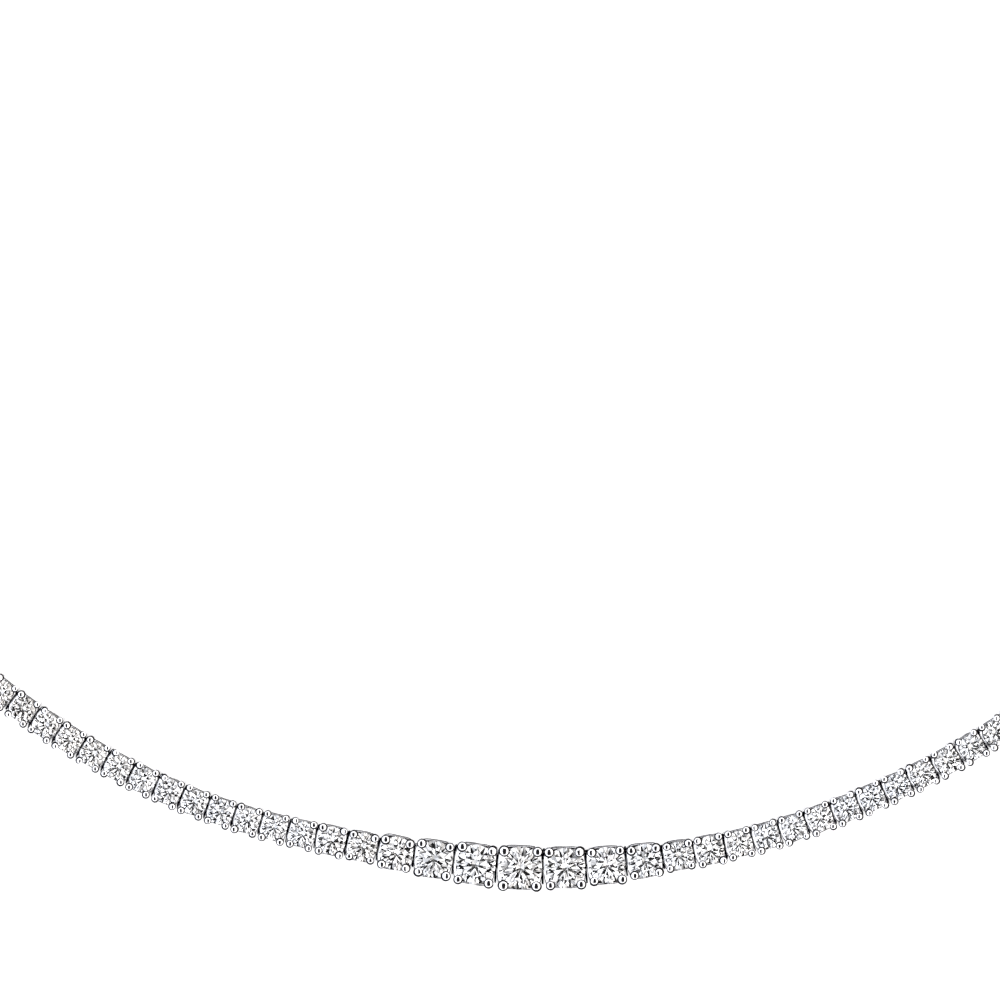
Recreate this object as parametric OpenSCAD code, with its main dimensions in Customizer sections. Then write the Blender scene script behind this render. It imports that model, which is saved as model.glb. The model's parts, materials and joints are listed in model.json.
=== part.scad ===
// Riviere necklace: a closed oval of four-prong links, each with a round
// brilliant, lying flat with the stones facing up. The stones grow towards
// the centre of the front, and a plain box clasp closes the loop at the back.
// Millimetres. +Z is up and the front of the necklace faces -Y.

/* [Necklace] */
// Length of the closed necklace, along its links
loop_length = 406; // [380:1:450]
// How much straighter the front and the back run than a circle would
oval_flatness = 0.2; // [0:0.01:0.3]
// How far the left shoulder lies inside the oval
left_lie = 0.32; // [-0.5:0.01:0.5]
// Length of the left shoulder
left_lie_run = 30; // [20:1:60]
// How far the right shoulder lies outside the oval
right_lie = 0.27; // [-0.5:0.01:0.5]
// Length of the right shoulder
right_lie_run = 36; // [20:1:60]
// How far the middle of the front sags below the oval
front_sag = 0.24; // [0:0.01:0.3]
// How far right of the centre stone the front sags most
front_sag_at = 3.6; // [0:0.1:5]
// Distance from there to either end of the sag
front_sag_run = 8.6; // [7:0.1:12]

/* [Stones] */
// Diameter of the centre stone
centre_stone_d = 3.8; // [3.2:0.1:4.6]
// Diameter of the stones along the sides and the back
side_stone_d = 2.2; // [2:0.1:2.8]
// Space between the girdles of two neighbouring stones
stone_gap = 0.24; // [0.22:0.01:0.4]
// Width of the table, as a share of the stone's diameter
table_share = 0.57; // [0.5:0.01:0.65]
// Height of the crown, as a share of the stone's diameter
crown_share = 0.15; // [0.12:0.01:0.17]
// Thickness of the girdle, as a share of the stone's diameter
girdle_share = 0.03; // [0.02:0.01:0.05]
// Depth of the pavilion, as a share of the stone's diameter
pavilion_share = 0.43; // [0.41:0.01:0.45]
// Turn of each stone in its seat against the stone before it, in degrees
stone_turn_step = 17; // [0:1:45]

/* [Settings] */
// Diameter of a prong of the centre setting
centre_prong_d = 0.68; // [0.6:0.02:0.72]
// Diameter of a prong of a side setting
side_prong_d = 0.52; // [0.46:0.02:0.54]
// Distance from the edge of the centre stone to the middle of its prongs
centre_prong_out = 0.19; // [0.17:0.01:0.24]
// Distance from the edge of a side stone to the middle of its prongs
side_prong_out = 0.21; // [0.17:0.01:0.24]
// Angle between the necklace's run and the prongs of the centre setting
centre_prong_angle = 46; // [44:0.5:54]
// Angle between the necklace's run and the prongs of a side setting
side_prong_angle = 52; // [51:0.5:56]
// Diameter of the bead at the tip of a prong of the centre setting
centre_bead_d = 0.96; // [0.8:0.02:1]
// Diameter of the bead at the tip of a prong of a side setting
side_bead_d = 0.66; // [0.58:0.02:0.68]
// Height of the bead of the centre setting
centre_bead_h = 0.26; // [0.16:0.01:0.3]
// Height of the bead of a side setting
side_bead_h = 0.18; // [0.12:0.01:0.24]
// Width of the two rails that join the prongs
rail_w = 0.24; // [0.22:0.01:0.28]
// Height of the two rails that join the prongs
rail_h = 0.2; // [0.16:0.01:0.22]
// Space between the rails of the centre link and those of the next
centre_rail_gap = 0.22; // [0.2:0.01:0.26]
// Space between the rails of two neighbouring side links
side_rail_gap = 0.16; // [0.15:0.01:0.2]
// Radius of the rails' rounded corners, from the stone's axis, as a share of
// the distance from there to their straight sides
rail_corner_share = 1.22; // [1.18:0.01:1.26]
// Space between the loops and the upper rails of the side settings
rail_space = 0.14; // [0.12:0.01:0.4]
// Clearance between a stone and its setting
seat_clearance = 0.1; // [0.06:0.01:0.14]

/* [Loops between the links] */
// Clearance round the rail that a loop holds
loop_clearance = 0.12; // [0.1:0.01:0.14]
// Thickness of a loop's wall round the rail
loop_wall = 0.13; // [0.1:0.01:0.15]
// Width of a loop, across the necklace
loop_w = 0.5; // [0.3:0.05:0.5]
// Play of a loop on its rail, along the necklace
loop_play = 0.17; // [0.15:0.01:0.2]

/* [Clasp] */
// Length of the clasp's body
clasp_body_l = 8; // [6:0.5:12]
// Width of the clasp's body
clasp_body_w = 3.2; // [2.6:0.1:4.5]
// Height of the clasp's body
clasp_body_h = 2; // [1.6:0.1:3]
// Radius of the upright corners of the clasp's body
clasp_corner_r = 0.6; // [0.3:0.1:1]
// Space between the clasp's body and the loop that holds its bar
clasp_space = 0.25; // [0.15:0.05:0.6]
// Width of the two lugs that hold the clasp's bar
clasp_lug_w = 0.4; // [0.3:0.05:0.6]
// How far the lugs end short of the front of the bar
clasp_lug_back = 0.1; // [0.05:0.01:0.16]

/* [Hidden] */
$fn = 24;

// How far each stone has grown from the side size to the centre size, for
// the centre stone and then for each stone further out on either side.
GRADUATION = [1, 0.84, 0.66, 0.48, 0.22, 0.18, 0.05, 0.02];

// How far out the prongs of the same links stand, as a share of what the sizes
// above give, and the degrees by which they lie nearer to the necklace's run.
// The prongs between the largest and the small settings are drawn in.
PRONG_OUT_SHARES = [1, 1, 0.66, 0.2, 0.45, 0.65, 0.9, 1];
PRONG_TURNS = [0, 0, 2, 5, 3.5, 1.8, 0.5, 0];

// Links of their own on each side of the centre one, and the number of loose
// solids that the whole necklace may have.
own_links = 9;
loose_solids = 250;

METAL_COLOUR = [0.82, 0.83, 0.85];
STONE_COLOUR = [0.93, 0.95, 0.97];

// Depth to which one solid runs into the next where they are joined, and by
// which a cut runs past the solid that it goes through
join = 0.08;
// Space left under the loops, and between the upper rail and the prongs' notches
loop_foot = 0.03;
notch_step = 0.04;
// Heights of the lower rails' middles and of the loops' tops
loop_z = loop_foot + loop_wall + loop_clearance + rail_h / 2;
loop_top = loop_z + rail_h / 2 + loop_clearance + loop_wall;
// Distance from the end of a side link to the far side of the loop that
// reaches into it
loop_reach = side_rail_gap / 2 + rail_w + loop_play + loop_wall;
// Main facets round a stone, corners of its girdle, the angle between those
// corners, and the slope of the pavilion's kites
mains = 8;
corners = 2 * mains;
girdle_turn = 360 / corners;
pavilion_slope = atan(2 * pavilion_share);
// Height of the culets above the surface that the links lie on
side_rail_in = (side_stone_d + stone_gap - side_rail_gap) / 2 - rail_w;
culet_height = loop_top + rail_space + rail_h + notch_step
    + seat_clearance / cos(pavilion_slope) - side_rail_in * tan(pavilion_slope);

// Sizes of link k. Link 0 is the centre one and negative links are on the left.
function listed(list, k, further) = abs(k) < len(list) ? list[abs(k)] : further;
function graded(k, side, centre) = side + (centre - side) * listed(GRADUATION, k, 0);
function stone_r(k) = graded(k, side_stone_d, centre_stone_d) / 2;
function pitch(k) = 2 * stone_r(k) + stone_gap;
function prong_r(k) = graded(k, side_prong_d, centre_prong_d) / 2;
function prong_at(k) = stone_r(k)
    + graded(k, side_prong_out, centre_prong_out) * listed(PRONG_OUT_SHARES, k, 1);
function prong_angle(k) = graded(k, side_prong_angle, centre_prong_angle)
    - listed(PRONG_TURNS, k, 0);
function bead_r(k) = graded(k, side_bead_d, centre_bead_d) / 2;
function bead_h(k) = graded(k, side_bead_h, centre_bead_h);
function rail_gap(k) = graded(k, side_rail_gap, centre_rail_gap);
function rail_out(k) = (pitch(k) - rail_gap(k)) / 2;
function girdle_z(k) = culet_height + 2 * stone_r(k) * pavilion_share;
function girdle_top_z(k) = girdle_z(k) + 2 * stone_r(k) * girdle_share;

// Height at which metal at a distance from the stone's axis still clears the
// pavilion above it, and at which a bead clears the crown below it.
function under_stone_z(k, at) = culet_height + at * tan(pavilion_slope)
    - seat_clearance / cos(pavilion_slope);
star_tip_height = 0.68;
star_tip_r = (1 - (1 - table_share) * star_tip_height) / cos(girdle_turn);
crown_slope = atan(2 * crown_share * star_tip_height / (1 - star_tip_r));
function over_stone_z(k, at) = girdle_top_z(k) + (stone_r(k) - at) * tan(crown_slope)
    + seat_clearance / cos(crown_slope);
function notch_z(k) = under_stone_z(k, min(rail_out(k) - rail_w, prong_at(k) - prong_r(k)));
function bead_z(k) = over_stone_z(k, prong_at(k) - bead_r(k));

// The necklace's run: links on each side, and the length that they close to.
function sum_pitch(last, k = 1) = k > last ? 0 : pitch(k) + sum_pitch(last, k + 1);
clasp_pitch = clasp_body_l + 2 * (clasp_space + loop_reach);
graded_links = len(GRADUATION) - 1;
plain_length = (loop_length - clasp_pitch - pitch(0)) / 2 - sum_pitch(graded_links);
links_a_side = graded_links + round(plain_length / (side_stone_d + stone_gap));
closed_length = pitch(0) + 2 * sum_pitch(links_a_side) + clasp_pitch;

// Last link on each side whose stone is a solid apart from its setting. Each
// link is one solid, or two up to there, and the clasp is one more.
last_open_link = floor((loose_solids - 3 - 2 * links_a_side) / 2);

// Heading of the run at a distance along it from the middle of the front. A
// ripple makes the circle an oval, and each shoulder lies a little off it.
function heading(s, lie, run) = 360 * s / closed_length
    - oval_flatness / 2 * (180 / PI) * sin(720 * s / closed_length)
    + (s < run ? lie * 180 / run * sin(360 * s / run) : 0);
function sagged(at, s) = at - [0, front_sag * max(0, 1 - pow((s - front_sag_at) / front_sag_run, 2))];
function ends(side, lie, run, k, s, at) = k > links_a_side ? [at] :
    let(turn = heading(s + pitch(k) / 2, lie, run))
    concat([sagged(at, side * s)],
        ends(side, lie, run, k + 1, s + pitch(k), at + pitch(k) * [cos(turn), sin(turn)]));

// Ends of the links, from the end of the centre link to the clasp. The left
// ones are written as if they were on the right.
LEFT_ENDS = ends(-1, left_lie, left_lie_run, 1, pitch(0) / 2, [pitch(0) / 2, 0]);
RIGHT_ENDS = ends(1, -right_lie, right_lie_run, 1, pitch(0) / 2, [pitch(0) / 2, 0]);

// The end of link k that is nearer the centre, its further end and the way
// between them. The centre link runs from left to right.
function near_end(k) = k == 0 ? [-LEFT_ENDS[0].x, LEFT_ENDS[0].y]
    : k < 0 ? LEFT_ENDS[-k - 1] : RIGHT_ENDS[k - 1];
function far_end(k) = k < 0 ? LEFT_ENDS[-k] : RIGHT_ENDS[k];
function link_turn(k) = let(way = far_end(k) - near_end(k)) atan2(way.y, way.x);
function link_front(k) = (near_end(k).y + far_end(k).y) / 2
    - prong_at(k) * sin(prong_angle(k) + abs(link_turn(k))) - bead_r(k);

// The origin is under the middle of the necklace's box.
left_back = LEFT_ENDS[links_a_side];
right_back = RIGHT_ENDS[links_a_side];
back_x = (right_back.x - left_back.x) / 2;
back_y = (right_back.y + left_back.y) / 2;
front_y = min([for (k = [-graded_links:graded_links]) link_front(k)]);
middle_y = (back_y + clasp_body_w / 2 + front_y) / 2;
middle_x = (max([for (at = RIGHT_ENDS) at.x]) - max([for (at = LEFT_ENDS) at.x])) / 2;

// Puts a link's own drawing, made along +X round the origin, at place k.
module at_link(k) {
    side = k < 0 ? -1 : 1;
    middle = (near_end(k) + far_end(k)) / 2;
    translate([side * middle.x - middle_x, middle.y - middle_y, 0])
        rotate([0, 0, side * link_turn(k)])
            children();
}

// Corners of a brilliant, ring by ring, with the girdle's lower edge at z = 0
// and a radius of 1. The kite facets lie flat, so the tips of the star and
// lower-half facets are worked out from the slopes of the kites.
function ring(count, r, z, from) = [for (i = [0:count - 1])
    [r * cos(from + i * 360 / count), r * sin(from + i * 360 / count), z]];
lower_tip_r = 0.24;
girdle_h1 = 2 * girdle_share;
crown_h1 = 2 * crown_share;
function brilliant_points() = concat(
    ring(mains, table_share, girdle_h1 + crown_h1, 0),
    ring(mains, star_tip_r, girdle_h1 + crown_h1 * star_tip_height, girdle_turn),
    ring(corners, 1, girdle_h1, 0),
    ring(corners, 1, 0, 0),
    ring(mains, lower_tip_r, 2 * pavilion_share * (lower_tip_r * cos(girdle_turn) - 1), girdle_turn),
    [[0, 0, -2 * pavilion_share]]
);
TABLE = 0;
STAR = TABLE + mains;
UPPER = STAR + mains;
LOWER = UPPER + corners;
TIP = LOWER + corners;
CULET = TIP + mains;
function brilliant_faces() = let(last = mains - 1) concat(
    [[for (i = [last:-1:0]) TABLE + i]],
    [for (i = [0:last]) [TABLE + i, TABLE + (i + 1) % mains, STAR + i]],
    [for (i = [0:last]) [TABLE + i, STAR + i, UPPER + 2 * i, STAR + (i + last) % mains]],
    [for (i = [0:last]) [STAR + i, UPPER + 2 * i + 1, UPPER + 2 * i]],
    [for (i = [0:last]) [STAR + i, UPPER + (2 * i + 2) % corners, UPPER + 2 * i + 1]],
    girdle_faces(UPPER, LOWER),
    [for (i = [0:last]) [LOWER + 2 * i, LOWER + 2 * i + 1, TIP + i]],
    [for (i = [0:last]) [LOWER + 2 * i + 1, LOWER + (2 * i + 2) % corners, TIP + i]],
    [for (i = [0:last]) [LOWER + 2 * i, TIP + i, CULET, TIP + (i + last) % mains]]
);
function girdle_faces(upper, lower) = [for (i = [0:corners - 1])
    [upper + i, upper + (i + 1) % corners, lower + (i + 1) % corners, lower + i]];

// Corners of a simpler cut, for the small stones, with the same girdle and table.
function small_cut_points() = concat(
    ring(mains, table_share, girdle_h1 + crown_h1, 0),
    ring(corners, 1, girdle_h1, 0),
    ring(corners, 1, 0, 0),
    [[0, 0, -2 * pavilion_share]]
);
SMALL_UPPER = TABLE + mains;
SMALL_LOWER = SMALL_UPPER + corners;
SMALL_CULET = SMALL_LOWER + corners;
function small_cut_faces() = let(last = mains - 1) concat(
    [[for (i = [last:-1:0]) TABLE + i]],
    [for (i = [0:last]) [TABLE + i, TABLE + (i + 1) % mains, SMALL_UPPER + 2 * i + 1]],
    [for (i = [0:last]) [TABLE + i, SMALL_UPPER + 2 * i + 1, SMALL_UPPER + 2 * i]],
    [for (i = [0:last]) [TABLE + i, SMALL_UPPER + 2 * i,
        SMALL_UPPER + (2 * i + corners - 1) % corners]],
    girdle_faces(SMALL_UPPER, SMALL_LOWER),
    [for (i = [0:corners - 1]) [SMALL_LOWER + i, SMALL_LOWER + (i + 1) % corners, SMALL_CULET]]
);

module stone(k) {
    color(STONE_COLOUR)
        translate([0, 0, girdle_z(k)])
            rotate([0, 0, k * stone_turn_step])
                polyhedron(stone_r(k) * brilliant_points(), brilliant_faces());
}

module small_stone(k) {
    color(STONE_COLOUR)
        translate([0, 0, girdle_z(k)])
            rotate([0, 0, k * stone_turn_step])
                polyhedron(stone_r(k) * small_cut_points(), small_cut_faces());
}

module at_prongs(k) {
    for (side = [-1, 1], end = [0, 180])
        rotate([0, 0, end + side * prong_angle(k)])
            translate([prong_at(k), 0, 0])
                children();
}

module prongs(k) {
    at_prongs(k)
        cylinder(r = prong_r(k), h = bead_z(k) + join);
}

// A bead is the cap of a sphere, with its flat side down over the stone's edge.
module beads(k) {
    ball_r = (pow(bead_r(k), 2) + pow(bead_h(k), 2)) / (2 * bead_h(k));
    at_prongs(k)
        translate([0, 0, bead_z(k)])
            difference() {
                translate([0, 0, bead_h(k) - ball_r])
                    sphere(r = ball_r);
                translate([0, 0, -2 * ball_r])
                    cube(4 * ball_r, center = true);
            }
}

// A rail is round inside and square outside, with its corners rounded off, so
// that neighbours lie edge to edge.
module rail(k, z) {
    out = rail_out(k);
    translate([0, 0, z])
        difference() {
            intersection() {
                cylinder(r = out * rail_corner_share, h = rail_h);
                translate([-out, -out, -join])
                    cube([2 * out, 2 * out, rail_h + 2 * join]);
            }
            translate([0, 0, -join])
                cylinder(r = out - rail_w, h = rail_h + 2 * join);
        }
}

// The notches in the prongs that the stone's edge sits in.
module seat(k) {
    translate([0, 0, notch_z(k)])
        cylinder(r = stone_r(k) + seat_clearance, h = bead_z(k) + 2 * join - notch_z(k));
}

// An oblong loop round the next lower rail. It points to +X, and rail_from is
// where that rail begins.
module loop(from, rail_from) {
    hole_l = rail_from + rail_w + loop_play - from - loop_wall;
    translate([from, -loop_w / 2, loop_foot])
        difference() {
            cube([hole_l + 2 * loop_wall, loop_w, loop_top - loop_foot]);
            translate([loop_wall, -join, loop_wall])
                cube([hole_l, loop_w + 2 * join, rail_h + 2 * loop_clearance]);
        }
}

module rails_and_loop(k) {
    rail(k, loop_z - rail_h / 2);
    rail(k, notch_z(k) - notch_step - rail_h);
    loop(rail_out(k) - (rail_w + loop_wall) / 2, (pitch(k) + rail_gap(k + 1)) / 2);
}

module setting(k) {
    color(METAL_COLOUR) {
        difference() {
            prongs(k);
            seat(k);
        }
        beads(k);
        rails_and_loop(k);
    }
}

// A link at the back, in one piece with its stone.
module whole_link(k) {
    color(METAL_COLOUR) {
        prongs(k);
        beads(k);
        rails_and_loop(k);
    }
    small_stone(k);
}

module clasp_body() {
    inner_l = clasp_body_l - 2 * clasp_corner_r;
    inner_w = clasp_body_w - 2 * clasp_corner_r;
    translate([-inner_l / 2, -clasp_body_w / 2, 0])
        cube([inner_l, clasp_body_w, clasp_body_h]);
    translate([-clasp_body_l / 2, -inner_w / 2, 0])
        cube([clasp_body_l, inner_w, clasp_body_h]);
    for (x = [-1, 1], y = [-1, 1])
        translate([x * inner_l / 2, y * inner_w / 2, 0])
            cylinder(r = clasp_corner_r, h = clasp_body_h);
}

// The bar that the last link's loop holds, between two lugs.
module clasp_bar() {
    lug_y = loop_w / 2 + loop_play;
    bar_x = (side_rail_gap - clasp_pitch) / 2;
    lug_x = bar_x + clasp_lug_back;
    translate([bar_x, -lug_y - clasp_lug_w / 2, loop_z - rail_h / 2])
        cube([rail_w, 2 * lug_y + clasp_lug_w, rail_h]);
    for (side = [-1, 1])
        translate([lug_x, side * (lug_y + clasp_lug_w / 2) - clasp_lug_w / 2, 0])
            cube([join - clasp_body_l / 2 - lug_x, clasp_lug_w, loop_z + rail_h]);
}

module clasp() {
    color(METAL_COLOUR)
        translate([back_x - middle_x, back_y - middle_y, 0])
            rotate([0, 0, 180 + atan2(right_back.y - left_back.y, right_back.x + left_back.x)]) {
                clasp_body();
                clasp_bar();
                loop(clasp_body_l / 2 - join, (clasp_pitch + side_rail_gap) / 2);
            }
}

at_link(0) setting(0);  // centre_setting
at_link(0) stone(0);  // centre_stone
for (k = [1:own_links]) {
    at_link(-k) setting(-k);
    at_link(-k) stone(-k);
    at_link(k) setting(k);
    at_link(k) stone(k);
}
for (k = [own_links + 1:last_open_link]) {
    at_link(-k) setting(-k);  // left_side_settings
    at_link(-k) small_stone(-k);  // left_side_stones
    at_link(k) setting(k);  // right_side_settings
    at_link(k) small_stone(k);  // right_side_stones
}
for (k = [last_open_link + 1:links_a_side]) {
    at_link(-k) whole_link(-k);  // left_back_links
    at_link(k) whole_link(k);  // right_back_links
}
clasp();
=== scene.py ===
import json
import math
import random

import bmesh
import bpy
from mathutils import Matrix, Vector

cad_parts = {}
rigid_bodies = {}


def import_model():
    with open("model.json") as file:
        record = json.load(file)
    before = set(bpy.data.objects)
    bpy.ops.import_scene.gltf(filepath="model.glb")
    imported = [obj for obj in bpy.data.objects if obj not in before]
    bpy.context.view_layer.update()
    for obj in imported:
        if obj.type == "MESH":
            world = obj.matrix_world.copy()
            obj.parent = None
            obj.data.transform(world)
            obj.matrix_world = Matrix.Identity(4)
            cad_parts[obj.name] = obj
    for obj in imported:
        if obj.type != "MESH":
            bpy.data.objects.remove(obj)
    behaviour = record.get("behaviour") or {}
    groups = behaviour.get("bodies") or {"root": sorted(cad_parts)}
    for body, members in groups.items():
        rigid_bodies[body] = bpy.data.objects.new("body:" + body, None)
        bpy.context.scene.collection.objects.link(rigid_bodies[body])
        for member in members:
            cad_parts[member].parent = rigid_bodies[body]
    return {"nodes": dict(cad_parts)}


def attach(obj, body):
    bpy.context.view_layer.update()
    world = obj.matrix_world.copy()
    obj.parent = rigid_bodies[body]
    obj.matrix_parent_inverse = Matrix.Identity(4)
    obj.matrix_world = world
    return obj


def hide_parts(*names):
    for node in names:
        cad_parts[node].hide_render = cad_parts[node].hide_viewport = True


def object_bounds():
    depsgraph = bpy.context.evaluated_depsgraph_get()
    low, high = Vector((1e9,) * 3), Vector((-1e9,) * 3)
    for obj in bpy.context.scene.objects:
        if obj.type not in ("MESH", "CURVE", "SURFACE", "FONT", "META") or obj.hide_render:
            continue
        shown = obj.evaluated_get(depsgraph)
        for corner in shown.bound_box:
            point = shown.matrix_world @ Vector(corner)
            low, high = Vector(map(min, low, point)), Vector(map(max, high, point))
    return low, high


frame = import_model()
cad_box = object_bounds()

# ---------------------------------------------------------------------------
# The row. The necklace is one closed row of hinged links of white gold, laid on
# the table as an oval. Each link is as long as its stone and a hair's gap. The
# photo shows only the front: the length and the oval's flatness are chosen.
# ---------------------------------------------------------------------------

MM = 0.001
LOOP_LENGTH = 406.0
OVAL_FLATNESS = 0.2
LEFT_SHOULDER = (0.32, 30.0)
RIGHT_SHOULDER = (-0.27, 36.0)
FRONT_SAG, FRONT_SAG_AT, FRONT_SAG_RUN = 0.24, 3.6, 8.6
CENTRE_STONE_D, SIDE_STONE_D, STONE_GAP = 3.8, 2.2, 0.24
GRADUATION = (1, 0.84, 0.66, 0.48, 0.22, 0.18, 0.05, 0.02)
CLASP_BODY = (8.0, 3.2, 2.0)
CLASP_SPACE = 0.25
RAIL_W, RAIL_H, SIDE_RAIL_GAP, CENTRE_RAIL_GAP = 0.24, 0.2, 0.16, 0.22
LOOP_CLEARANCE, LOOP_PLAY, LOOP_WALL, LOOP_W, LOOP_FOOT = 0.12, 0.17, 0.13, 0.5, 0.03
OWN_LINKS, LAST_OPEN_LINK = 9, 44
STRAND_SEEDS = (100, 101, 102, 103)


def listed(values, link, further):
    return values[abs(link)] if abs(link) < len(values) else further


def graded(link, side, centre):
    """A size that grows from the side links to the centre one, as the stones do."""
    return side + (centre - side) * listed(GRADUATION, link, 0)


def stone_radius(link):
    return graded(link, SIDE_STONE_D, CENTRE_STONE_D) / 2


def pitch(link):
    return 2 * stone_radius(link) + STONE_GAP


loop_reach = SIDE_RAIL_GAP / 2 + RAIL_W + LOOP_PLAY + LOOP_WALL
clasp_pitch = CLASP_BODY[0] + 2 * (CLASP_SPACE + loop_reach)
graded_links = len(GRADUATION) - 1
graded_length = sum(pitch(link) for link in range(1, graded_links + 1))
plain_length = (LOOP_LENGTH - clasp_pitch - pitch(0)) / 2 - graded_length
links_a_side = graded_links + round(plain_length / pitch(graded_links + 1))
closed_length = (pitch(0) + clasp_pitch
                 + 2 * sum(pitch(link) for link in range(1, links_a_side + 1)))


def heading(along, shoulder):
    """Direction of the row at a distance from the middle of its front, in degrees."""
    lie, run = shoulder
    turn = 360 * along / closed_length
    turn -= math.degrees(OVAL_FLATNESS / 2 * math.sin(4 * math.pi * along / closed_length))
    if along < run:
        turn += lie * 180 / run * math.sin(2 * math.pi * along / run)
    return math.radians(turn)


def link_ends(side, shoulder):
    """Ends of the links of one side, drawn as if on the right, from the centre link's end."""
    along, at = pitch(0) / 2, Vector((pitch(0) / 2, 0.0))
    ends = []
    for link in range(1, links_a_side + 1):
        sag = FRONT_SAG * max(0, 1 - ((side * along - FRONT_SAG_AT) / FRONT_SAG_RUN) ** 2)
        ends.append(at - Vector((0, sag)))
        turn = heading(along + pitch(link) / 2, shoulder)
        at = at + pitch(link) * Vector((math.cos(turn), math.sin(turn)))
        along += pitch(link)
    return ends + [at]


LEFT_ENDS, RIGHT_ENDS = link_ends(-1, LEFT_SHOULDER), link_ends(1, RIGHT_SHOULDER)
back_y = (LEFT_ENDS[-1].y + RIGHT_ENDS[-1].y) / 2
middle = Vector((
    (max(end.x for end in RIGHT_ENDS) - max(end.x for end in LEFT_ENDS)) / 2,
    back_y + CLASP_BODY[1] / 2 - cad_box[1][1] / MM,
))


def link_place(link):
    """Middle of a link on the table, and the way that it points."""
    side, ends = (-1, LEFT_ENDS) if link < 0 else (1, RIGHT_ENDS)
    end = ends[abs(link)]
    start = ends[abs(link) - 1] if link else Vector((-LEFT_ENDS[0].x, LEFT_ENDS[0].y))
    here, step = (start + end) / 2, end - start
    return Vector((side * here.x, here.y)) - middle, side * math.atan2(step.y, step.x)


class Wire:
    """An output in a node tree. Operators on it add Math nodes, and node() adds any other."""

    def __init__(self, tree, socket=None):
        self.tree, self.socket = tree, socket

    def node(self, kind, sockets=None, out=0, **settings):
        made = self.tree.nodes.new(kind)
        for name, value in settings.items():
            setattr(made, name, value)
        for name, value in (sockets or {}).items():
            if isinstance(value, Wire):
                self.tree.links.new(value.socket, made.inputs[name])
            else:
                made.inputs[name].default_value = value
        return Wire(self.tree, made.outputs[out])

    def maths(self, operation, *values):
        return self.node("ShaderNodeMath", dict(enumerate(values)), operation=operation)

    def between(self, low, high, to_low=0.0, to_high=1.0):
        """A smooth step of the value, from to_low at low to to_high at high."""
        sockets = {"Value": self, "From Min": low, "From Max": high,
                   "To Min": to_low, "To Max": to_high}
        return self.node("ShaderNodeMapRange", sockets, interpolation_type="SMOOTHSTEP")

    def colours(self, low, high):
        """A colour between these two, by the value."""
        sockets = {0: self, 6: (*low, 1), 7: (*high, 1)}
        return self.node("ShaderNodeMix", sockets, out=2, data_type="RGBA")

    def __add__(self, other):
        return self.maths("ADD", self, other)

    def __radd__(self, other):
        return self.maths("ADD", other, self)

    def __sub__(self, other):
        return self.maths("SUBTRACT", self, other)

    def __rsub__(self, other):
        return self.maths("SUBTRACT", other, self)

    def __mul__(self, other):
        return self.maths("MULTIPLY", self, other)

    def __rmul__(self, other):
        return self.maths("MULTIPLY", other, self)

    def __abs__(self):
        return self.maths("ABSOLUTE", self)


PICKS = 999


def row_tree():
    """Geometry Nodes that lay one of a few patterns at each point, a little out of true."""
    tree = bpy.data.node_groups.new("laid_along_the_row", "GeometryNodeTree")
    sockets = {}
    for name, kind in (("Row", "Geometry"), ("Patterns", "Collection"), ("Finish", "Material"),
                       ("Wobble", "Vector"), ("Seed", "Int")):
        sockets[name] = tree.interface.new_socket(
            name=name, in_out="INPUT", socket_type="NodeSocket" + kind).identifier
    tree.interface.new_socket(name="Laid", in_out="OUTPUT", socket_type="NodeSocketGeometry")
    given = tree.nodes.new("NodeGroupInput")
    row, patterns, finish, wobble, seed = (Wire(tree, given.outputs[i]) for i in range(5))
    start = Wire(tree)
    turn = start.node("GeometryNodeInputNamedAttribute", {"Name": "turn"}, data_type="FLOAT")
    out_of_true = start.node(
        "FunctionNodeRandomValue",
        {0: wobble.node("ShaderNodeVectorMath", {0: wobble, 3: -1.0}, operation="SCALE"),
         1: wobble, "Seed": seed},
        data_type="FLOAT_VECTOR")
    pointing = start.node("ShaderNodeCombineXYZ", {"Z": turn})
    angles = start.node("ShaderNodeVectorMath", {0: pointing, 1: out_of_true}, operation="ADD")
    shapes = patterns.node("GeometryNodeCollectionInfo", {
        "Collection": patterns, "Separate Children": True, "Reset Children": True})
    which = start.node(
        "FunctionNodeRandomValue", {4: 0, 5: PICKS, "Seed": seed}, out=2, data_type="INT")
    laid = row.node("GeometryNodeInstanceOnPoints", {
        "Points": row, "Instance": shapes, "Pick Instance": True, "Instance Index": which,
        "Rotation": angles.node("FunctionNodeEulerToRotation", {"Euler": angles})})
    solid = laid.node("GeometryNodeRealizeInstances", {"Geometry": laid})
    made = solid.node("GeometryNodeSetMaterial", {"Geometry": solid, "Material": finish})
    tree.links.new(made.socket, tree.nodes.new("NodeGroupOutput").inputs[0])
    return tree, sockets


ROW_TREE, ROW_SOCKETS = row_tree()


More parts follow.
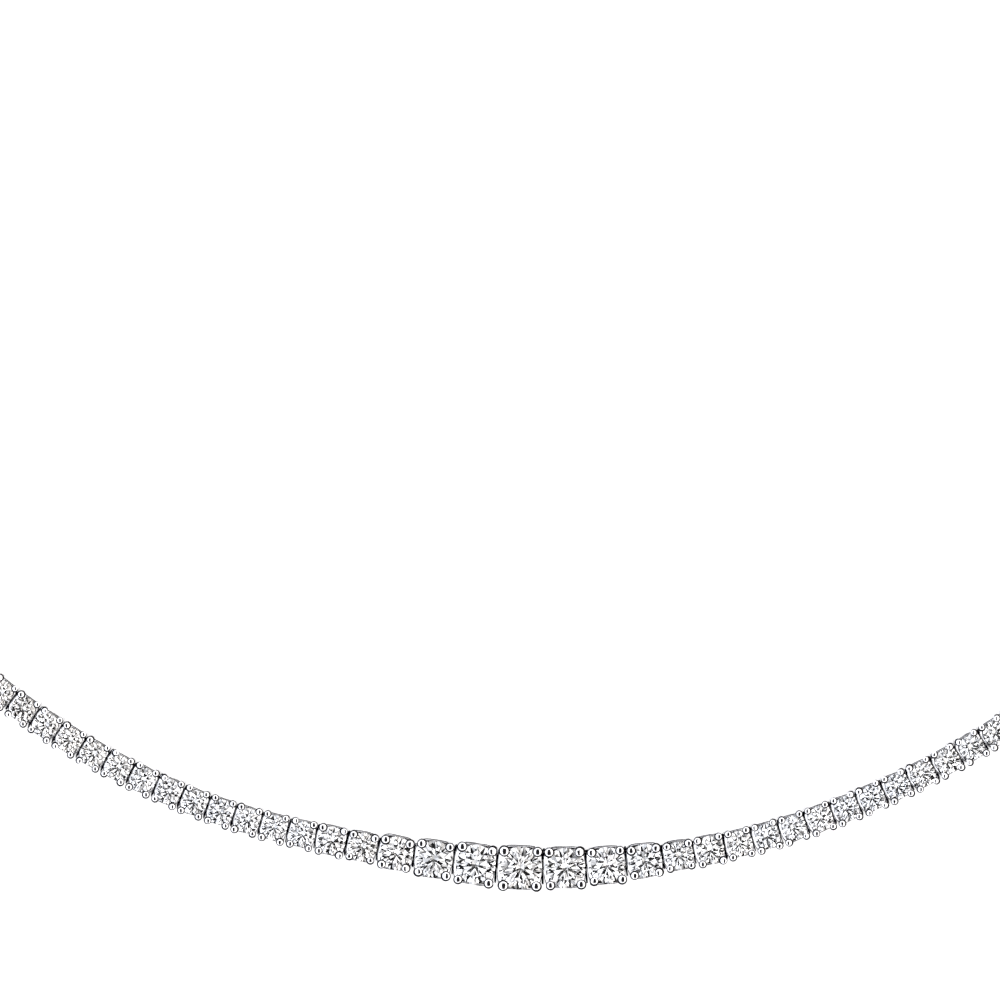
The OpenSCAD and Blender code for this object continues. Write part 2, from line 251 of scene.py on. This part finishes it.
def lay(name, links, meshes, finish, height=0.0, turn_step=0.0, wobble=(0, 0, 0), seed=0):
    """One piece: one of these link or stone meshes at each of these places of the row."""
    places = [(link, *link_place(link)) for link in links]
    row = bpy.data.meshes.new(name + "_row")
    row.from_pydata([(at.x * MM, at.y * MM, height * MM) for _, at, _ in places], [], [])
    turn = row.attributes.new("turn", "FLOAT", "POINT")
    turn.data.foreach_set("value", [way + link * turn_step for link, _, way in places])
    piece = bpy.data.objects.new(name, row)
    bpy.context.scene.collection.objects.link(piece)
    patterns = bpy.data.collections.new(name + "_patterns")
    bpy.context.scene.collection.children.link(patterns)
    for mesh in meshes:
        patterns.objects.link(bpy.data.objects.new(name + "_pattern", mesh))
    modifier = piece.modifiers.new("Row", "NODES")
    modifier.node_group = ROW_TREE
    modifier[ROW_SOCKETS["Patterns"]] = patterns
    modifier[ROW_SOCKETS["Finish"]] = finish
    modifier[ROW_SOCKETS["Wobble"]] = [math.radians(angle) for angle in wobble]
    modifier[ROW_SOCKETS["Seed"]] = seed
    graph = bpy.context.evaluated_depsgraph_get()
    laid = bpy.data.meshes.new_from_object(
        piece.evaluated_get(graph), preserve_all_data_layers=True, depsgraph=graph)
    piece.modifiers.clear()
    piece.data = laid
    laid.name = name
    for pattern in list(patterns.objects):
        bpy.data.objects.remove(pattern)
    bpy.data.collections.remove(patterns)
    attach(piece, "root")
    return piece


# Names of the pieces of the row: a centre link, nine links of their own on
# each side, the side stretches and the back stretches.
STRETCHES = [("centre", [0])]
for side, sign in (("left", -1), ("right", 1)):
    STRETCHES += [(f"{side}_{{}}_{n}", [sign * n]) for n in range(1, OWN_LINKS + 1)]
    STRETCHES += [(f"{side}_side", [sign * n for n in range(OWN_LINKS + 1, LAST_OPEN_LINK + 1)])]
    STRETCHES += [(f"{side}_back", [sign * n for n in range(LAST_OPEN_LINK + 1, links_a_side + 1)])]


def stretch_names(stretch, part, kind):
    """Name of a stretch's piece of this part, and the CAD nodes that hold it."""
    if stretch.endswith("_back"):
        return f"{stretch}_{part}s", f"{stretch}_links"
    if stretch.endswith("_side"):
        return f"{stretch}_{part}s", f"{stretch}_{kind}s"
    if "{}" in stretch:
        return stretch.format(part), stretch.format(kind)
    return f"{stretch}_{part}", f"{stretch}_{kind}"


def variants(links):
    """Seeds of the patterns of a stretch: one for a single link, a few for a strand."""
    return [links[0]] if len(links) == 1 else STRAND_SEEDS


# ---------------------------------------------------------------------------
# Baskets. Each stone has a basket cast in white gold and polished: two rails,
# squared so that neighbours lie edge to edge, and four upright prongs. A prong
# is notched for the stone's edge, and ends in a bead pressed over the crown.
# ---------------------------------------------------------------------------

SEAT_CLEARANCE, NOTCH_STEP, RAIL_SPACE = 0.1, 0.04, 0.14
PRONG_OUT_SHARES = (1, 1, 0.66, 0.2, 0.45, 0.65, 0.9)
PRONG_TURNS = (0, 0, 2, 5, 3.5, 1.8, 0.5)
TABLE_SHARE, CROWN_SHARE, GIRDLE_SHARE, PAVILION_SHARE = 0.57, 0.15, 0.03, 0.43
STAR_TIP_HEIGHT = 0.68
MAINS, FACET_TURN = 8, 22.5
GRIP_CLEARANCE = 0.02
PRONG_ANGLES, PRONG_OUTS, PRONG_DIAMETERS = (52, 46), (0.21, 0.19), (0.52, 0.68)
PRONG_FOOT_SHARE, PRONG_FOOT_H, NOTCH_START, NOTCH_END = 0.8, 0.08, 0.3, 0.06
BEAD_DIAMETERS, BEAD_HEIGHTS = (0.72, 0.98), (0.2, 0.28)
BEAD_UNDER_SHARE, BEAD_UNDER_H, DOME_STEPS = 0.96, 0.03, 60
LOWER_RAIL_SLOPE, LOWER_RAIL_ACROSS, UPPER_RAIL_SLOPE, UPPER_RAIL_ACROSS = 0.14, 0.95, 0.07, 1.0
RAIL_SLOPE_FALL, RAIL_TOP_H, RAIL_TOP_W = 0.72, 0.01, 0.02
RAIL_SQUARENESS, RAIL_SWELL, RAIL_BOW, RAIL_WAVES = 4, 0.03, 0.06, ((3, 0.02), (5, 0.014))
BEAD_LEAN, BEAD_SPREAD = 0.16, 0.1
BEAD_EDGE_SLOPE, BEAD_FLATNESSES = math.radians(44), (1.8, 2.0)
loop_z = LOOP_FOOT + LOOP_WALL + LOOP_CLEARANCE + RAIL_H / 2
loop_top = loop_z + RAIL_H / 2 + LOOP_CLEARANCE + LOOP_WALL
pavilion_slope = math.atan(2 * PAVILION_SHARE)
side_rail_in = (SIDE_STONE_D + STONE_GAP - SIDE_RAIL_GAP) / 2 - RAIL_W
culet_height = (loop_top + RAIL_SPACE + RAIL_H + NOTCH_STEP
                + SEAT_CLEARANCE / math.cos(pavilion_slope)
                - side_rail_in * math.tan(pavilion_slope))
star_tip_radius = (1 - (1 - TABLE_SHARE) * STAR_TIP_HEIGHT) / math.cos(math.radians(FACET_TURN))
crown_slope = math.atan(2 * CROWN_SHARE * STAR_TIP_HEIGHT / (1 - star_tip_radius))


def prong_size(link):
    """Radius of a prong, its distance from the stone's axis, and its angle to the row."""
    angle = math.radians(graded(link, *PRONG_ANGLES) - listed(PRONG_TURNS, link, 0))
    out = stone_radius(link) + graded(link, *PRONG_OUTS) * listed(PRONG_OUT_SHARES, link, 1)
    return graded(link, *PRONG_DIAMETERS) / 2, out, angle


def rail_gap(link):
    return graded(link, SIDE_RAIL_GAP, CENTRE_RAIL_GAP)


def rail_reach(link):
    return (pitch(link) - rail_gap(link)) / 2


def upper_rail_top(link):
    radius, out, _ = prong_size(link)
    at = min(rail_reach(link) - RAIL_W, out - radius)
    return (culet_height + at * math.tan(pavilion_slope)
            - SEAT_CLEARANCE / math.cos(pavilion_slope) - NOTCH_STEP)


def girdle_height(link):
    return culet_height + 2 * stone_radius(link) * PAVILION_SHARE


def add_prong(mesh, profile, sides, way, lean, bead_foot):
    """Adds a prong from rings of radius, height and distance from the stone's axis.

    It leans by these slopes above the foot of its bead."""
    rings = []
    for radius, z, out in profile[:-1]:
        middle_x, middle_y = out * math.cos(way), out * math.sin(way)
        ring = []
        for i in range(sides):
            x, y = (radius * turned(2 * math.pi * i / sides) for turned in (math.cos, math.sin))
            tilt = x * lean[0] + y * lean[1] if z > bead_foot else 0
            ring.append(mesh.verts.new((middle_x + x, middle_y + y, z + tilt)))
        rings.append(ring)
    _, z, out = profile[-1]
    tip = mesh.verts.new((out * math.cos(way), out * math.sin(way), z))
    for below, above in zip(rings, rings[1:]):
        for i in range(sides):
            mesh.faces.new((below[i - 1], below[i], above[i], above[i - 1]))
    mesh.faces.new(rings[0][::-1])
    for i in range(sides):
        mesh.faces.new((rings[-1][i - 1], rings[-1][i], tip))


def add_rail(mesh, reach, inner, top, slope, across, sides, chance):
    """Adds a rail, squared but bowed and uneven, with a sloping outer edge.

    across is its width across the row, as a share of its length."""
    rings = []
    waves = [(count, rise, chance.uniform(0, 2 * math.pi)) for count, rise in RAIL_WAVES]
    for i in range(sides):
        way = 2 * math.pi * i / sides
        c, s = math.cos(way), math.sin(way)
        square = abs(c) ** RAIL_SQUARENESS + abs(s) ** RAIL_SQUARENESS
        swell = RAIL_SWELL - RAIL_BOW * c * abs(c)
        swell += sum(rise * math.sin(count * way + start) for count, rise, start in waves)
        outer = (reach + swell) / square ** (1 / RAIL_SQUARENESS)
        section = ((inner, top - RAIL_H), (outer, top - RAIL_H),
                   (outer, top - RAIL_SLOPE_FALL * slope - RAIL_TOP_H),
                   (outer - slope, top - RAIL_TOP_H), (outer - slope - RAIL_TOP_W, top),
                   (inner, top))
        rings.append([mesh.verts.new((r * c, r * s * across, z)) for r, z in section])
    for i in range(sides):
        for a in range(len(rings[0])):
            mesh.faces.new((rings[i - 1][a - 1], rings[i][a - 1], rings[i][a], rings[i - 1][a]))


def dome(radius, top, flatness, rings):
    """A bead's profile from its rim to its tip, nearly flat on top and steepest at the rim."""
    steps = DOME_STEPS
    fall = [0.0]
    for i in range(steps):
        share = (i + 0.5) / steps
        fall.append(fall[-1] + radius / steps * math.tan(BEAD_EDGE_SLOPE * share ** flatness))
    marks = [round(steps * (1 - i / rings)) for i in range(rings + 1)]
    return [(radius * mark / steps, top - fall[mark]) for mark in marks]


def finished(mesh, name, sharp):
    """A mesh in metres from one drawn in millimetres, smooth but for edges over this angle."""
    bmesh.ops.scale(mesh, vec=(MM, MM, MM), verts=mesh.verts)
    bmesh.ops.recalc_face_normals(mesh, faces=mesh.faces)
    for face in mesh.faces:
        face.smooth = sharp > 0
    for edge in mesh.edges:
        if edge.is_manifold and edge.calc_face_angle(0) > math.radians(sharp):
            edge.smooth = False
    made = bpy.data.meshes.new(name)
    mesh.to_mesh(made)
    mesh.free()
    return made


def basket_mesh(link, seed, rail_sides, prong_sides, dome_rings):
    """The basket of a link, drawn at the origin, with beads that lean and vary by the seed."""
    mesh = bmesh.new()
    chance = random.Random(seed)
    reach = rail_reach(link)
    for top, slope, across in ((loop_z + RAIL_H / 2, LOWER_RAIL_SLOPE, LOWER_RAIL_ACROSS),
                               (upper_rail_top(link), UPPER_RAIL_SLOPE, UPPER_RAIL_ACROSS)):
        add_rail(mesh, reach, reach - RAIL_W, top, slope, across, rail_sides, chance)
    radius, out, angle = prong_size(link)
    girdle = girdle_height(link)
    waist = (out + radius - stone_radius(link) - GRIP_CLEARANCE) / 2
    waist_out = stone_radius(link) + GRIP_CLEARANCE + waist
    for end in (0, math.pi):
        for side in (-1, 1):
            bead = graded(link, *BEAD_DIAMETERS) / 2 * (1 + BEAD_SPREAD * chance.uniform(-1, 0.3))
            under = (girdle + 2 * stone_radius(link) * GIRDLE_SHARE + GRIP_CLEARANCE
                     + (stone_radius(link) - out + bead) * math.tan(crown_slope))
            top = under + graded(link, *BEAD_HEIGHTS)
            bead_foot = under + BEAD_UNDER_H
            profile = [(PRONG_FOOT_SHARE * radius, 0.0, out), (radius, PRONG_FOOT_H, out),
                       (radius, girdle - NOTCH_START, out), (waist, girdle - NOTCH_END, waist_out),
                       (waist, under, waist_out), (bead * BEAD_UNDER_SHARE, bead_foot, out)]
            flatness = graded(link, *BEAD_FLATNESSES)
            profile += [(ring, z, out) for ring, z in dome(bead, top, flatness, dome_rings)]
            lean = [BEAD_LEAN * chance.uniform(-1, 1) for _ in range(2)]
            add_prong(mesh, profile, prong_sides, end + side * angle, lean, bead_foot)
    return finished(mesh, "basket", 50)


CLOUD_SHADE = 0.94
SCRATCH_STRENGTH, SCRATCH_DEPTH = 0.1, 2e-6


def white_gold(name, colour, roughness, worn):
    """White gold with fine scratches in its gloss and a soft unevenness of its surface."""
    material = bpy.data.materials.new(name)
    material.use_nodes = True
    tree = material.node_tree
    shader = tree.nodes["Principled BSDF"]
    shader.inputs["Metallic"].default_value = 1.0
    start = Wire(tree)
    place = start.node("ShaderNodeTexCoord", out=3)
    scratches = place.node("ShaderNodeTexNoise", {"Vector": place, "Scale": 9000.0, "Detail": 3.0})
    cloud = place.node("ShaderNodeTexNoise", {"Vector": place, "Scale": 900.0, "Detail": 1.0})
    gloss = roughness + (scratches - 0.5) * worn + (cloud - 0.5) * worn
    tree.links.new(gloss.socket, shader.inputs["Roughness"])
    tone = cloud.between(0.3, 0.7).colours(colour, [c * CLOUD_SHADE for c in colour])
    tree.links.new(tone.socket, shader.inputs["Base Color"])
    bump = scratches.node("ShaderNodeBump", {
        "Strength": SCRATCH_STRENGTH, "Distance": SCRATCH_DEPTH, "Height": scratches})
    tree.links.new(bump.socket, shader.inputs["Normal"])
    return material


# Sides of a rail and of a prong, and rings of a bead, in a link of its own and
# in a strand.
OWN_DETAIL, STRAND_DETAIL = (48, 20, 6), (24, 10, 4)
BASKET_WOBBLE, BASKET_SEED = (0, 0, 0.8), 11

polished_metal = white_gold("polished_white_gold", (0.88, 0.88, 0.89), 0.07, 0.05)
for stretch, links in STRETCHES:
    name, node = stretch_names(stretch, "basket", "setting")
    detail = OWN_DETAIL if len(links) == 1 else STRAND_DETAIL
    baskets = [basket_mesh(links[0], seed, *detail) for seed in variants(links)]
    piece = lay(name, links, baskets, polished_metal,
                wobble=BASKET_WOBBLE, seed=BASKET_SEED + links[0])
    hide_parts(node)

# ---------------------------------------------------------------------------
# Loops. An oblong loop of strip, with a flat plate across its top, is soldered
# under the end of each basket and closed round the next one's lower rail. Plate
# and loop are near-black, chosen for the dark line that the photo shows there:
# this is painted shade, a dark sheet set in the gap between links where there is
# only shadow, not the colour of the metal.
# ---------------------------------------------------------------------------


LOOP_ROUND_IN, LOOP_ROUND_OUT = 0.05, 0.16
PLATE_CLEARANCE, PLATE_TIP, PLATE_SHARES = 0.03, 0.02, (1, 0.6)
PLATE_REACH, PLATE_UNEVEN = (-0.3, 0.6), (-0.05, 0.07)
LOOP_SEED = 23


def rounded_corners(left, right, low, high, round_off, steps):
    """Corners of a rounded rectangle, anticlockwise from its lower right one."""
    corners = []
    for x, y, start in ((right, low, -90), (right, high, 0), (left, high, 90), (left, low, 180)):
        cx = x - math.copysign(round_off, x - (left + right) / 2)
        cy = y - math.copysign(round_off, y - (low + high) / 2)
        for i in range(steps + 1):
            angle = math.radians(start + 90 * i / steps)
            corners.append((cx + round_off * math.cos(angle), cy + round_off * math.sin(angle)))
    return corners


def loop_mesh(link, seed, steps):
    """A loop across the joint after a link, and the plate over it, a little uneven."""
    mesh = bmesh.new()
    chance = random.Random(seed)
    near = rail_reach(link) - (RAIL_W + LOOP_WALL) / 2
    far = (pitch(link) + rail_gap(link + 1)) / 2 + RAIL_W + LOOP_PLAY + LOOP_WALL
    inner = rounded_corners(near + LOOP_WALL, far - LOOP_WALL,
                            LOOP_FOOT + LOOP_WALL, loop_top - LOOP_WALL, LOOP_ROUND_IN, steps)
    outer = rounded_corners(near, far, LOOP_FOOT, loop_top, LOOP_ROUND_OUT, steps)
    sides = []
    for y in (-LOOP_W / 2, LOOP_W / 2):
        sides.append([[mesh.verts.new((x, y, z)) for x, z in ring] for ring in (outer, inner)])
    (front_out, front_in), (back_out, back_in) = sides
    for a in range(len(outer)):
        mesh.faces.new((front_out[a - 1], front_out[a], front_in[a], front_in[a - 1]))
        mesh.faces.new((back_out[a], back_out[a - 1], back_in[a - 1], back_in[a]))
        mesh.faces.new((front_out[a], front_out[a - 1], back_out[a - 1], back_out[a]))
        mesh.faces.new((front_in[a - 1], front_in[a], back_in[a], back_in[a - 1]))
    # The plate fills the gap between links; its near-black finish is painted shade where there is
    # only shadow.
    radius, out, angle = prong_size(link)
    at = out * math.sin(angle)
    waist = pitch(link) / 2 - out * math.cos(angle) - radius - PLATE_CLEARANCE
    halves = []
    for share in PLATE_SHARES:
        wide, reach = share * waist, chance.uniform(*PLATE_REACH) * radius
        widest = wide + chance.uniform(*PLATE_UNEVEN)
        halves.append([(0.5 * wide, 0.15 * at), (0.8 * wide, 0.45 * at), (widest, 0.75 * at),
                       (0.7 * wide, at), (PLATE_TIP, at + reach)])
    upper, lower = halves
    outline = upper + [(-x, y) for x, y in upper[::-1]]
    outline += [(-x, -y) for x, y in lower] + [(x, -y) for x, y in lower[::-1]]
    plate = [(pitch(link) / 2 + x - RAIL_BOW * (1 - (y / at) ** 2), y) for x, y in outline]
    low, high = ([mesh.verts.new((x, y, z)) for x, y in plate]
                 for z in (loop_top - LOOP_WALL, loop_top))
    mesh.faces.new(high)
    mesh.faces.new(low[::-1])
    for a in range(len(outline)):
        mesh.faces.new((low[a - 1], low[a], high[a], high[a - 1]))
    return finished(mesh, "loop", 40)


# Near-black finish of plates and loops: painted shade in the gaps between links, not the metal's
# own colour.
painted_shade_metal = white_gold("painted_shade_gold", (0.06, 0.06, 0.065), 0.4, 0.1)
for stretch, links in STRETCHES:
    name, node = stretch_names(stretch, "loop", "setting")
    corner_steps = 4 if len(links) == 1 else 2
    loops = [loop_mesh(links[0], seed, corner_steps) for seed in variants(links)]
    piece = lay(name, links, loops, painted_shade_metal, seed=LOOP_SEED + links[0])
    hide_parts(node)

# ---------------------------------------------------------------------------
# Stones. Round brilliants of 57 facets and a narrow bruted girdle, the centre
# one the largest. Each drops into the notches of its four prongs, and no two
# lie quite level or turned alike, so each shows its own pattern.
# ---------------------------------------------------------------------------

STONE_TURN_STEP, STONE_WOBBLE, STONE_SEED = math.radians(17), (1.6, 1.6, 9), 5
LOWER_TIP_RADII = (0.14, 0.2, 0.17, 0.24)
DIAMOND_IOR, GIRDLE_ROUGHNESS = 2.417, 0.35


def brilliant_mesh(radius, tip_radius):
    """A brilliant with the lower edge of its girdle at z = 0."""
    mesh = bmesh.new()

    def ring(count, r, z, from_deg):
        return [mesh.verts.new((radius * r * math.cos(math.radians(from_deg + 360 * i / count)),
                                radius * r * math.sin(math.radians(from_deg + 360 * i / count)),
                                radius * z)) for i in range(count)]
    girdle, crown = 2 * GIRDLE_SHARE, 2 * CROWN_SHARE
    corners = 2 * MAINS
    table = ring(MAINS, TABLE_SHARE, girdle + crown, 0)
    star = ring(MAINS, star_tip_radius, girdle + crown * STAR_TIP_HEIGHT, FACET_TURN)
    upper = ring(corners, 1, girdle, 0)
    lower = ring(corners, 1, 0, 0)
    tip_depth = 2 * PAVILION_SHARE * (tip_radius * math.cos(math.radians(FACET_TURN)) - 1)
    tip = ring(MAINS, tip_radius, tip_depth, FACET_TURN)
    culet = mesh.verts.new((0, 0, -2 * PAVILION_SHARE * radius))
    mesh.faces.new(table)
    for i in range(MAINS):
        mesh.faces.new((table[i], star[i], table[(i + 1) % MAINS]))
        mesh.faces.new((table[i], star[i - 1], upper[2 * i], star[i]))
        mesh.faces.new((star[i], upper[2 * i], upper[2 * i + 1]))
        mesh.faces.new((star[i], upper[2 * i + 1], upper[(2 * i + 2) % corners]))
        mesh.faces.new((lower[2 * i], tip[i], lower[2 * i + 1]))
        mesh.faces.new((lower[2 * i + 1], tip[i], lower[(2 * i + 2) % corners]))
        mesh.faces.new((lower[2 * i], tip[i - 1], culet, tip[i]))
    edge = mesh.faces.layers.float.new("girdle")
    for i in range(corners):
        j = (i + 1) % corners
        mesh.faces.new((lower[i], lower[j], upper[j], upper[i]))[edge] = 1.0
    return finished(mesh, "brilliant", 0)


def brilliant_material():
    """Clear stone: faintly warm or cool from one to the next, with a frosted girdle."""
    material = bpy.data.materials.new("brilliant")
    material.use_nodes = True
    tree = material.node_tree
    shader = tree.nodes["Principled BSDF"]
    shader.inputs["Transmission Weight"].default_value = 1.0
    shader.inputs["IOR"].default_value = DIAMOND_IOR
    start = Wire(tree)
    edge = start.node("ShaderNodeAttribute", out=2, attribute_name="girdle")
    tree.links.new((edge * GIRDLE_ROUGHNESS).socket, shader.inputs["Roughness"])
    place = start.node("ShaderNodeTexCoord", out=3)
    cloud = place.node("ShaderNodeTexNoise", {"Vector": place, "Scale": 160.0, "Detail": 1.0})
    tint = cloud.between(0.35, 0.65).colours((1.0, 0.985, 0.96), (0.97, 0.985, 1.0))
    tree.links.new(tint.socket, shader.inputs["Base Color"])
    return material


clear_stone = brilliant_material()
for stretch, links in STRETCHES:
    name, node = stretch_names(stretch, "brilliant", "stone")
    brilliants = [brilliant_mesh(stone_radius(links[0]), LOWER_TIP_RADII[seed % 4])
                  for seed in variants(links)]
    piece = lay(name, links, brilliants, clear_stone, height=girdle_height(links[0]),
                turn_step=STONE_TURN_STEP, wobble=STONE_WOBBLE, seed=STONE_SEED + links[0])
    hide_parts(node)

# ---------------------------------------------------------------------------
# Clasp. A plain box clasp of satin white gold closes the necklace at the back.
# It is shut, so it is one piece: the box with its rounded corners, a bar between
# two lugs that the last loop holds, and a loop of its own at the other end.
# ---------------------------------------------------------------------------

satin_metal = white_gold("satin_white_gold", (0.66, 0.66, 0.67), 0.45, 0.1)
clasp_piece = frame["nodes"]["clasp"]
clasp_piece.data.materials.clear()
clasp_piece.data.materials.append(satin_metal)

# ---------------------------------------------------------------------------
# Table, light and camera. The necklace lies on a plain white sheet in a soft
# white tent with folds of light and shade, dark round its foot. Through a dark
# slit in its roof the camera looks straight down at the front of the row.
# ---------------------------------------------------------------------------

VIEW_WIDTH = 87.15
VIEW_MIDDLE = (-1.97, -28.06)
VIEW_TURN = 0.0081
CAMERA_HEIGHT = 275.0
SHEET_SIZE, SHEET_GLOW = 8, 0.6
# Directions of the sky from the necklace, each as a cosine to an axis: the slit
# in the roof, where the tent begins above the table, and its folds of light.
SLIT_MIDDLE, SLIT_ACROSS, SLIT_ALONG = (0.03, -0.1), (0.2, 0.24), (0.42, 0.5)
TENT_FOOT, TENT_SKEW = (0.63, 0.69), 0.03
FOLD_SCALE, FOLD_EDGES, FOLD_SHADES = 14.0, (0.4, 0.6), (0.4, 1.36)
DARK_STRENGTH, TENT_STRENGTH = 0.04, 2.1

bpy.ops.mesh.primitive_plane_add(size=SHEET_SIZE)
sheet = bpy.context.object
sheet.name = "white_sheet"
paper = bpy.data.materials.new("white_paper")
paper.use_nodes = True
paper_shader = paper.node_tree.nodes["Principled BSDF"]
paper_shader.inputs["Roughness"].default_value = 0.9
paper_shader.inputs["Specular IOR Level"].default_value = 0.2
paper_shader.inputs["Emission Color"].default_value = (1, 1, 1, 1)
paper_shader.inputs["Emission Strength"].default_value = SHEET_GLOW
paper_start = Wire(paper.node_tree)
paper_place = paper_start.node("ShaderNodeTexCoord", out=3)
fibres = paper_start.node(
    "ShaderNodeTexNoise", {"Vector": paper_place, "Scale": 400.0, "Detail": 4.0})
paper_tone = fibres.colours((0.88, 0.88, 0.88), (0.84, 0.84, 0.84))
paper.node_tree.links.new(paper_tone.socket, paper_shader.inputs["Base Color"])
sheet.data.materials.append(paper)

world = bpy.data.worlds.new("light_tent")
world.use_nodes = True
bpy.context.scene.world = world
sky = Wire(world.node_tree)
way = sky.node("ShaderNodeTexCoord")
across = way.node("ShaderNodeSeparateXYZ", {"Vector": way}, out=0)
along = way.node("ShaderNodeSeparateXYZ", {"Vector": way}, out=1)
upward = way.node("ShaderNodeSeparateXYZ", {"Vector": way}, out=2)
slit = (abs(across - SLIT_MIDDLE[0]).between(*SLIT_ACROSS, 1.0, 0.0)
        * abs(along - SLIT_MIDDLE[1]).between(*SLIT_ALONG, 1.0, 0.0))
tent = (upward - TENT_SKEW * along).between(*TENT_FOOT)
folds = way.node("ShaderNodeTexNoise", {"Vector": way, "Scale": FOLD_SCALE, "Detail": 2.0})
shades = folds.between(*FOLD_EDGES, *FOLD_SHADES)
strength = DARK_STRENGTH + TENT_STRENGTH * tent * (1 - slit) * shades
background = world.node_tree.nodes["Background"]
world.node_tree.links.new(strength.socket, background.inputs["Strength"])
tint = across.between(-0.7, 0.7).colours((0.95, 0.98, 1.06), (1.03, 0.995, 0.98))
world.node_tree.links.new(tint.socket, background.inputs["Color"])

camera_data = bpy.data.cameras.new("camera")
camera_data.sensor_width = 36
camera_data.lens = 36 * (CAMERA_HEIGHT - girdle_height(1)) / VIEW_WIDTH
camera_data.clip_start = 0.01
camera = bpy.data.objects.new("camera", camera_data)
camera.location = (VIEW_MIDDLE[0] * MM, VIEW_MIDDLE[1] * MM, CAMERA_HEIGHT * MM)
camera.rotation_euler = (0, 0, VIEW_TURN)
bpy.context.scene.collection.objects.link(camera)
bpy.context.scene.camera = camera

# The print is made to a clean white: paper and highlights clip, shadows go deep.
grading = bpy.context.scene.view_settings
grading.view_transform = "Standard"
grading.use_curve_mapping = True
grading.curve_mapping.black_level = (0.02, 0.02, 0.02)
grading.curve_mapping.white_level = (1.0, 1.0, 1.0)
grading.curve_mapping.update()
